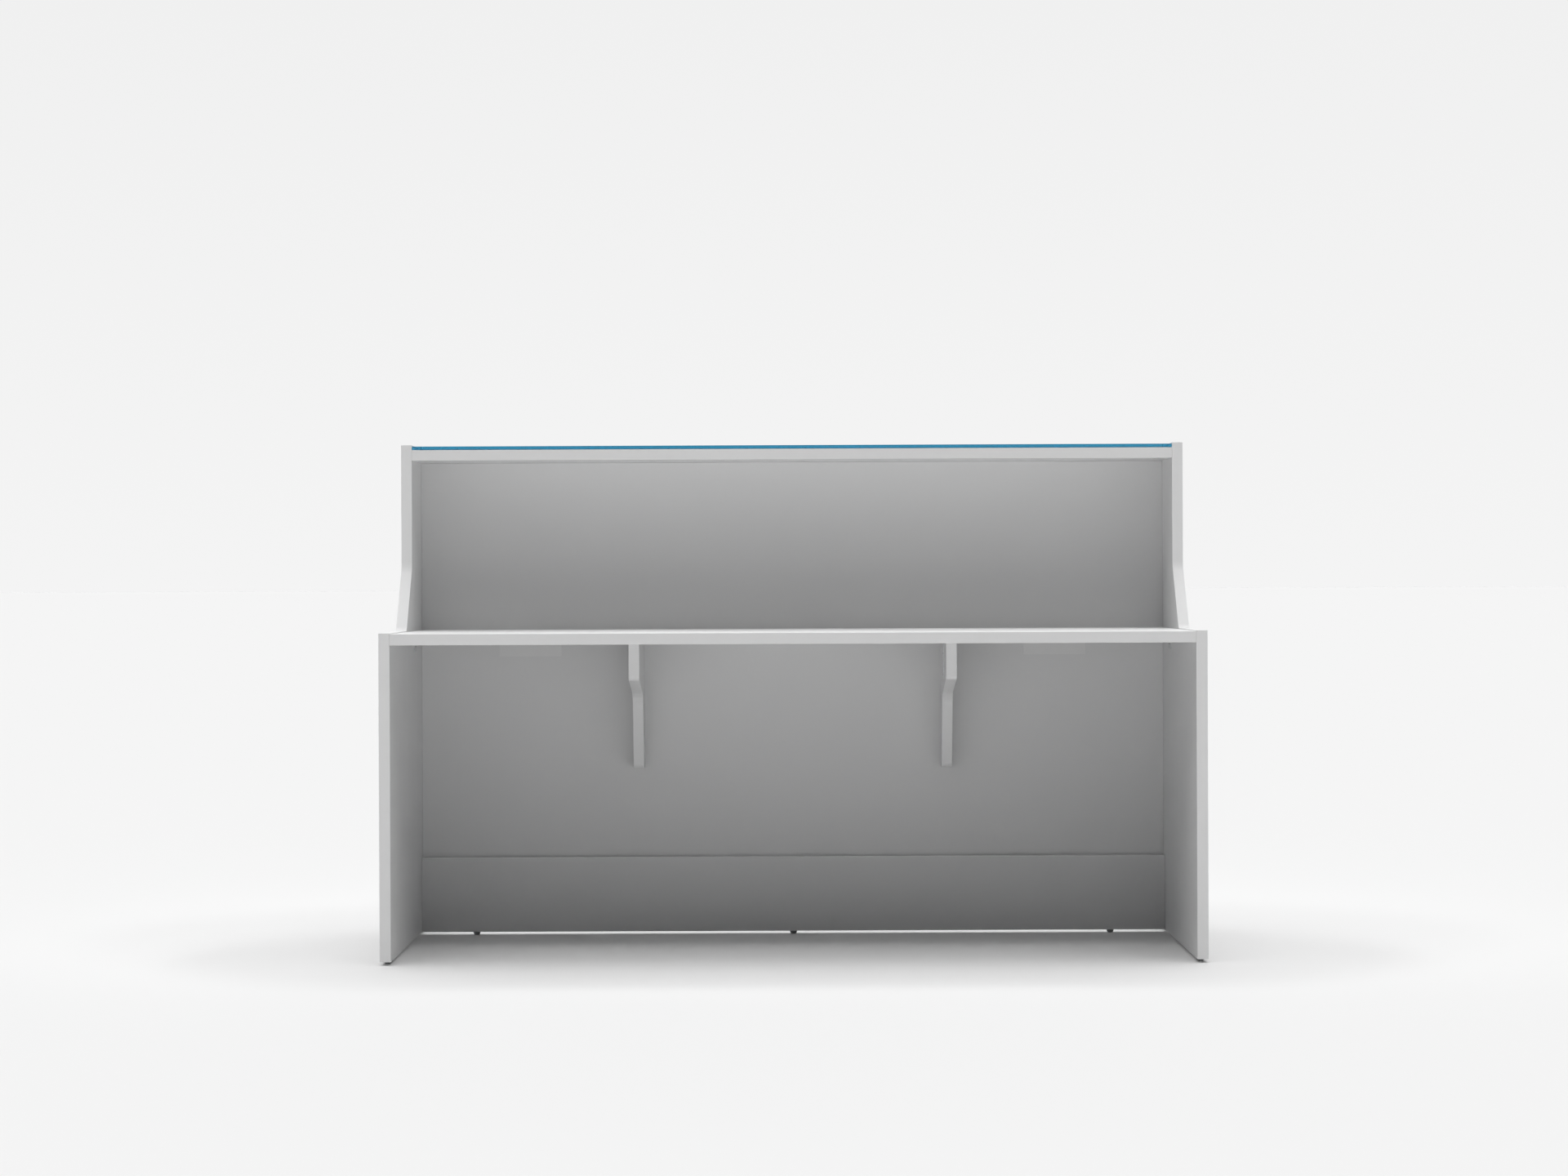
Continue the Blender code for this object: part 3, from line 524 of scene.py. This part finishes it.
def band_section(width):
    """A band's section as (inset, place across) points: flat inside, with two rounded outer arrises."""
    half = width / 2
    points = [(BAND + BAND_GLUE, half), (BAND + BAND_GLUE, -half)]
    for side in (-1, 1):
        centre = side * (half - BAND_ARRIS)
        turns = [pi / 2 * i / ARRIS_STEPS for i in range(ARRIS_STEPS + 1)]
        if side == 1:
            turns.reverse()
        reach = side * BAND_ARRIS
        points += [(BAND_ARRIS * (1 - sin(turn)), centre + reach * cos(turn)) for turn in turns]
    return points


def add_band(node, rings, is_closed):
    """A finer band in place of a band's solid."""
    shape = bmesh.new()
    loft(shape, rings, is_closed)
    add_piece(f"{node}_fine", to_mesh(shape, node, FLAT_CREASE), "edge_band", stands_for=[node])


def shaped_bands():
    """Finer bands round the side panels and the brackets."""
    for kind, outline, is_closed in (("side", side_outline, True), ("bracket", bracket_outline, False)):
        for side in ("left", "right"):
            node = f"{side}_{kind}_edge_band"
            low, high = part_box(node)
            middle = (low.x + high.x) / 2
            columns = [[(middle + across, point.x, point.y) for point in outline(inset)]
                       for inset, across in band_section(high.x - low.x)]
            add_band(node, list(zip(*columns)), is_closed)


STRAIGHT_BANDS = {
    "worktop_edge_band": (0, -1, 0),
    "top_shelf_staff_edge_band": (0, -1, 0),
    "top_shelf_visitor_edge_band": (0, 1, 0),
    "front_panel_edge_band": (0, 0, -1),
    "plinth_bottom_edge_band": (0, 0, -1),
    "plinth_top_edge_band": (0, 0, 1),
}


def straight_bands():
    """Finer bands along the straight board edges."""
    for node, direction in STRAIGHT_BANDS.items():
        outwards = Vector(direction)
        across = outwards.cross(Vector((1, 0, 0)))
        low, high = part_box(node)
        middle = (low + high) / 2
        outer_face = middle + outwards * (BAND / 2)
        width = abs((high - low).dot(across))
        section = [outer_face - outwards * inset + across * sideways
                   for inset, sideways in band_section(width)]
        add_band(node, [[(x, point.y, point.z) for point in section] for x in (low.x, high.x)], False)


# Glass

def glass():
    """The glass with polished arrises, and the paint on its back, which reaches a little into it."""
    low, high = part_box("glass_top")
    shape = bmesh.new()
    size = Matrix.Diagonal((high - low).to_4d())
    bmesh.ops.create_cube(shape, size=1, matrix=Matrix.Translation((low + high) / 2) @ size)
    bmesh.ops.bevel(shape, geom=shape.edges[:], offset=GLASS_ARRIS, segments=GLASS_ARRIS_STEPS,
                    profile=GLASS_ARRIS_PROFILE, affect="EDGES")
    mesh = to_mesh(shape, "glass", 0)
    add_piece("glass_top_polished", mesh, "blue_glass", stands_for=["glass_top"])
    shape = bmesh.new()
    margin = Vector((PAINT_MARGIN, PAINT_MARGIN, 0))
    bottom = low + margin
    top = high - margin
    top.z = low.z + PAINT_INTO_GLASS
    bottom.z = top.z - PAINT_THICKNESS
    size = Matrix.Diagonal((top - bottom).to_4d())
    bmesh.ops.create_cube(shape, size=1, matrix=Matrix.Translation((top + bottom) / 2) @ size)
    add_piece("glass_back_paint", to_mesh(shape, "glass_back_paint", 0), "blue_glass", finish=BLUE_PAINT)


# Screws

def cut(mesh, tool, name):
    """A new mesh: the first without what the second takes up."""
    target = bpy.data.objects.new(name, mesh)
    cutter = bpy.data.objects.new(name + "_cutter", tool)
    for item in (target, cutter):
        bpy.context.scene.collection.objects.link(item)
    modifier = target.modifiers.new("cut", "BOOLEAN")
    modifier.object = cutter
    modifier.solver = "EXACT"
    bpy.context.view_layer.update()
    made = bpy.data.meshes.new_from_object(target.evaluated_get(bpy.context.evaluated_depsgraph_get()))
    for item in (target, cutter):
        bpy.data.objects.remove(item)
    made.name = name
    made.shade_smooth()
    made.set_sharp_from_angle(angle=ROUND_CREASE)
    return made


def screw_mesh():
    """A pan head screw with a cross recess. Its head is below the origin and it points up."""
    dome = []
    for step in range(SCREW_HEAD_STEPS + 1):
        turn = pi / 2 * step / SCREW_HEAD_STEPS
        radius = SCREW_HEAD_FLAT_SHARE + (1 - SCREW_HEAD_FLAT_SHARE) * sin(turn)
        height = SCREW_HEAD_RIM_SHARE + (1 - SCREW_HEAD_RIM_SHARE) * cos(turn)
        dome.append((SCREW_HEAD_RADIUS * radius, -SCREW_HEAD_HEIGHT * height))
    shape = bmesh.new()
    turned(shape, dome + [(SCREW_HEAD_RADIUS, 0), (SCREW_THREAD_RADIUS, 0)], ROUND_SIDES)
    head = to_mesh(shape, "screw_head")
    shape = bmesh.new()
    for is_along_x in (True, False):
        rings = []
        for arm, depth in ((RECESS_ARM, -RECESS_WIDTH), (RECESS_ARM_AT_BOTTOM, RECESS_DEPTH)):
            half_x, half_y = (arm, RECESS_WIDTH / 2) if is_along_x else (RECESS_WIDTH / 2, arm)
            z = depth - SCREW_HEAD_HEIGHT
            corners = [(half_x, half_y), (-half_x, half_y), (-half_x, -half_y), (half_x, -half_y)]
            rings.append([(x, y, z) for x, y in corners])
        loft(shape, rings, False)
    made = cut(head, to_mesh(shape, "screw_recess"), "pan_head_screw")
    shape = bmesh.new()
    shape.from_mesh(made)
    tip = SCREW_LENGTH - 2 * SCREW_CORE_RADIUS
    shank = [(SCREW_THREAD_RADIUS, -SCREW_HEAD_HEIGHT / 4), (SCREW_THREAD_RADIUS, SHEET),
             (SCREW_CORE_RADIUS, SHEET), (SCREW_CORE_RADIUS, tip), (SCREW_POINT_RADIUS, SCREW_LENGTH)]
    turned(shape, shank, SMALL_SIDES)
    thread(shape, SCREW_CORE_RADIUS, SCREW_THREAD_RADIUS, SCREW_PITCH, SHEET, tip)
    return to_mesh(shape, "pan_head_screw")


# Each angle's direction outwards from what it is fixed to, and the shares at which its holes stand
ANGLES = {
    "left_worktop_angle": ((1, 0, 0), (0.5,), (0.5,), (0.25, 0.75)),
    "right_worktop_angle": ((-1, 0, 0), (0.5,), (0.5,), (0.25, 0.75)),
    "left_bracket_angle": ((-1, 0, 0), (0.35, 0.9), (0.62,), (0.5,)),
    "right_bracket_angle": ((-1, 0, 0), (0.35, 0.9), (0.62,), (0.5,)),
    "left_front_angle": ((0, -1, 0), (0.5,), (0.5,), (0.25, 0.75)),
    "right_front_angle": ((0, -1, 0), (0.5,), (0.5,), (0.25, 0.75)),
}


def screws():
    """A screw in each hole of the fixing angles, white in the white ones."""
    plated = screw_mesh()
    painted = plated.copy()
    up = Vector((0, 0, 1))
    for node, (direction, down_shares, out_shares, along_shares) in ANGLES.items():
        mesh, slot, finish = (plated, "zinc", NICKEL)
        if node.endswith("_front_angle"):
            mesh, slot, finish = (painted, "powder_coat", None)
        outwards = Vector(direction)
        along = outwards.cross(up)
        low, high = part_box(node)
        size = high - low
        middle = (low + high) / 2
        reach = abs(size.dot(outwards))
        length = abs(size.dot(along))
        bend = Vector((middle.x, middle.y, high.z)) - outwards * (reach / 2)
        count = 0
        for along_share in along_shares:
            line = bend + along * (length * (along_share - 0.5))
            holes = [(line + outwards * SHEET - up * (size.z * share), -outwards)
                     for share in down_shares]
            holes += [(line - up * SHEET + outwards * (reach * share), up) for share in out_shares]
            for point, into in holes:
                count += 1
                where = aimed(point, into) @ Matrix.Rotation(SCREW_TURN * count, 4, "Z")
                add_piece(f"{node}_screw_{count}", mesh, slot, finish=finish, where=where)


# Feet and caps

def glide_mesh():
    """A foot's glide: a dome that stands on the origin under a fluted grip."""
    dome_top = FOOT_TOP - FOOT_GRIP
    rows = []
    for step in range(FOOT_DOME_STEPS + 1):
        turn = pi / 2 * step / FOOT_DOME_STEPS
        radius = FOOT_FLAT_RADIUS + (FOOT_RADIUS - FOOT_FLAT_RADIUS) * sin(turn)
        rows.append((radius, dome_top * (1 - cos(turn)), FLUTE_DEPTH * sin(turn) ** FLUTE_FADE_POWER))
    rows.append((FOOT_RADIUS, FOOT_TOP - FOOT_ARRIS, FLUTE_DEPTH))
    rows.append((FOOT_RADIUS - FOOT_ARRIS, FOOT_TOP, 0))
    rows.append((STUD_CORE_RADIUS, FOOT_TOP, 0))
    sides = FOOT_FLUTES * FLUTE_SIDES
    rings = []
    for radius, height, depth in rows:
        ring = []
        for i in range(sides):
            turn = tau * i / sides
            arm = radius - depth * (1 - cos(turn * FOOT_FLUTES)) / 2
            ring.append((arm * cos(turn), arm * sin(turn), height))
        rings.append(ring)
    shape = bmesh.new()
    loft(shape, rings, False)
    return to_mesh(shape, "foot_glide")


def stud_mesh():
    """A foot's threaded steel stud, with a chamfered end."""
    shape = bmesh.new()
    half_pitch = STUD_PITCH / 2
    core = [(STUD_CORE_RADIUS, FOOT_TOP), (STUD_CORE_RADIUS, STUD_TOP - half_pitch),
            (STUD_CORE_RADIUS - half_pitch, STUD_TOP)]
    turned(shape, core, SMALL_SIDES)
    thread(shape, STUD_CORE_RADIUS, STUD_RADIUS, STUD_PITCH,
           FOOT_TOP + half_pitch, STUD_TOP - STUD_PITCH)
    return to_mesh(shape, "foot_stud")


def sleeve_mesh(length):
    """A push-in sleeve with barbs round it and a chamfered mouth at the origin."""
    section = [(SLEEVE_BORE_RADIUS, length), (SLEEVE_BORE_RADIUS, SLEEVE_CHAMFER),
               (SLEEVE_BORE_RADIUS + SLEEVE_CHAMFER, 0), (SLEEVE_RADIUS, 0)]
    barbs = int(length / SLEEVE_BARB)
    for i in range(1, barbs + 1):
        section += [(SLEEVE_RADIUS, SLEEVE_BARB * (i - SLEEVE_BARB_CREST)),
                    (SLEEVE_GROOVE_RADIUS, SLEEVE_BARB * (i - SLEEVE_BARB_FOOT)),
                    (SLEEVE_GROOVE_RADIUS, SLEEVE_BARB * i)]
    section.append((SLEEVE_GROOVE_RADIUS, length))
    shape = bmesh.new()
    loft(shape, [[(radius * cos(tau * i / ROUND_SIDES), radius * sin(tau * i / ROUND_SIDES), height)
                  for radius, height in section] for i in range(ROUND_SIDES)], True)
    return to_mesh(shape, "foot_sleeve")


def feet():
    """Finer feet, each as a plastic glide with a steel stud in it, and their sleeves."""
    glide = glide_mesh()
    stud = stud_mesh()
    low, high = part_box("plinth_middle_foot_insert")
    sleeve = sleeve_mesh(high.z - low.z)
    for part in frame["record"]["subparts"]:
        node = part["node"]
        if not node.endswith("_foot"):
            continue
        low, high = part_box(node)
        stand = Vector(((low.x + high.x) / 2, (low.y + high.y) / 2, low.z))
        add_piece(f"{node}_glide", glide, "foot_plastic", node, [node], where=Matrix.Translation(stand))
        add_piece(f"{node}_stud", stud, "zinc", node, where=Matrix.Translation(stand))
        insert = node + "_insert"
        mouth = Matrix.Translation((stand.x, stand.y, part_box(insert)[0].z))
        add_piece(f"{node}_sleeve", sleeve, "zinc", stands_for=[insert], where=mouth)


def caps():
    """Finer cover caps on the cam locks: slightly crowned, with a rounded rim."""
    low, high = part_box("shelf_left_staff_cam_cap")
    radius = (high.x - low.x) / 2
    profile = [(radius * CAP_FLAT_SHARE, 0), (radius * CAP_CROWN_SHARE, CAP_CROWN / 2)]
    for step in range(CAP_RIM_STEPS + 1):
        turn = pi / 2 * step / CAP_RIM_STEPS
        arm = radius - CAP_ROUNDING * (1 - sin(turn))
        profile.append((arm, CAP_CROWN + CAP_ROUNDING * (1 - cos(turn))))
    profile += [(radius, CAP_THICKNESS), (CAP_SPIGOT_RADIUS, CAP_THICKNESS)]
    profile.append((CAP_SPIGOT_RADIUS, high.z - low.z))
    shape = bmesh.new()
    turned(shape, profile, ROUND_SIDES)
    mesh = to_mesh(shape, "cover_cap")
    for part in frame["record"]["subparts"]:
        node = part["node"]
        if node.endswith("_cam_cap"):
            low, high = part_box(node)
            face = Matrix.Translation(((low.x + high.x) / 2, (low.y + high.y) / 2, low.z))
            add_piece(f"{node}_fine", mesh, "cap_plastic", stands_for=[node], where=face)


# Floor, light and camera

def floor():
    """A plain pale floor that takes the counter's shadow."""
    shape = bmesh.new()
    bmesh.ops.create_grid(shape, x_segments=1, y_segments=1, size=FLOOR_HALF)
    mesh = bpy.data.meshes.new("floor")
    shape.to_mesh(mesh)
    shape.free()
    piece = bpy.data.objects.new("floor", mesh)
    bpy.context.scene.collection.objects.link(piece)
    material, _, shader = new_finish("pale_floor", 1.0, specular=0.0)
    shader.inputs["Base Color"].default_value = (FLOOR_COLOUR, FLOOR_COLOUR, FLOOR_COLOUR, 1)
    mesh.materials.append(material)


def calculated(tree, operation, value, other=0.0):
    """The result of a calculation with a value and another value or number."""
    node = tree.nodes.new("ShaderNodeMath")
    node.operation = operation
    connect(tree, value, node.inputs[0])
    if isinstance(other, bpy.types.NodeSocket):
        connect(tree, other, node.inputs[1])
    else:
        node.inputs[1].default_value = other
    return node.outputs["Value"]


def hump(tree, value, middle, width):
    """A smooth hump of height 1 about a value."""
    offset = calculated(tree, "MULTIPLY", calculated(tree, "SUBTRACT", value, middle), 1 / width)
    fall = calculated(tree, "MULTIPLY", calculated(tree, "POWER", offset, 2), -1)
    return calculated(tree, "EXPONENT", fall)


def light():
    """A ring of soft light high above the horizon, all round, behind a plain pale background."""
    world = bpy.data.worlds.new("studio")
    bpy.context.scene.world = world
    world.use_nodes = True
    tree = world.node_tree
    sky = tree.nodes["Background"]
    coordinates = tree.nodes.new("ShaderNodeTexCoord")
    split = tree.nodes.new("ShaderNodeSeparateXYZ")
    connect(tree, coordinates.outputs["Generated"], split.inputs["Vector"])
    height = split.outputs["Z"]
    ring = calculated(tree, "MULTIPLY", hump(tree, height, RING_HEIGHT, RING_WIDTH),
                      RING_LIGHT / (2 * sqrt(pi) * RING_HEIGHT * RING_WIDTH))
    overhead = calculated(tree, "POWER", calculated(tree, "MAXIMUM", height, 0), OVERHEAD_POWER)
    overhead = calculated(tree, "MULTIPLY", overhead, OVERHEAD_LIGHT * (OVERHEAD_POWER + 2) / 2)
    behind = calculated(tree, "MAXIMUM", split.outputs["Y"], 0)
    behind = calculated(tree, "MULTIPLY", behind, BEHIND_GLOW)
    behind = calculated(tree, "MULTIPLY", behind, hump(tree, height, 0, BEHIND_WIDTH))
    together = calculated(tree, "ADD", calculated(tree, "ADD", ring, overhead), behind)
    connect(tree, together, sky.inputs["Strength"])
    sky.inputs["Color"].default_value = (1, 1, 1, 1)
    background = tree.nodes.new("ShaderNodeBackground")
    background.inputs["Color"].default_value = (1, 1, 1, 1)
    faded = spread(tree, height, BACKGROUND_LOW, BACKGROUND_HIGH, 0, BACKGROUND_FADE)
    connect(tree, faded, background.inputs["Strength"])
    path = tree.nodes.new("ShaderNodeLightPath")
    seen = path.outputs["Is Camera Ray"]
    for name in ("Is Glossy Ray", "Is Transmission Ray"):
        seen = calculated(tree, "MAXIMUM", seen, path.outputs[name])
    choice = tree.nodes.new("ShaderNodeMixShader")
    connect(tree, seen, choice.inputs["Fac"])
    connect(tree, sky.outputs["Background"], choice.inputs[1])
    connect(tree, background.outputs["Background"], choice.inputs[2])
    connect(tree, choice.outputs["Shader"], tree.nodes["World Output"].inputs["Surface"])


def camera():
    """The photograph's view: nearly level, from the staff side, a little over the worktop."""
    data = bpy.data.cameras.new("camera")
    data.sensor_width = SENSOR_WIDTH
    data.lens = SENSOR_WIDTH * FOCAL_PIXELS / PHOTO_WIDTH
    data.clip_end = FLOOR_HALF * 2
    made = bpy.data.objects.new("camera", data)
    bpy.context.scene.collection.objects.link(made)
    staff_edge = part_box("left_side_edge_band")[0].y
    where = Matrix.Translation((CAMERA_SIDE, staff_edge - CAMERA_DISTANCE, CAMERA_HEIGHT))
    turn = Matrix.Rotation(CAMERA_YAW, 4, "Z") @ Matrix.Rotation(pi / 2 + CAMERA_PITCH, 4, "X")
    made.matrix_world = where @ turn @ Matrix.Rotation(CAMERA_ROLL, 4, "Z")
    bpy.context.scene.camera = made


dress_solids()
shaped_bands()
straight_bands()
glass()
screws()
feet()
caps()
floor()
light()
camera()
bpy.context.scene.view_settings.view_transform = "Standard"
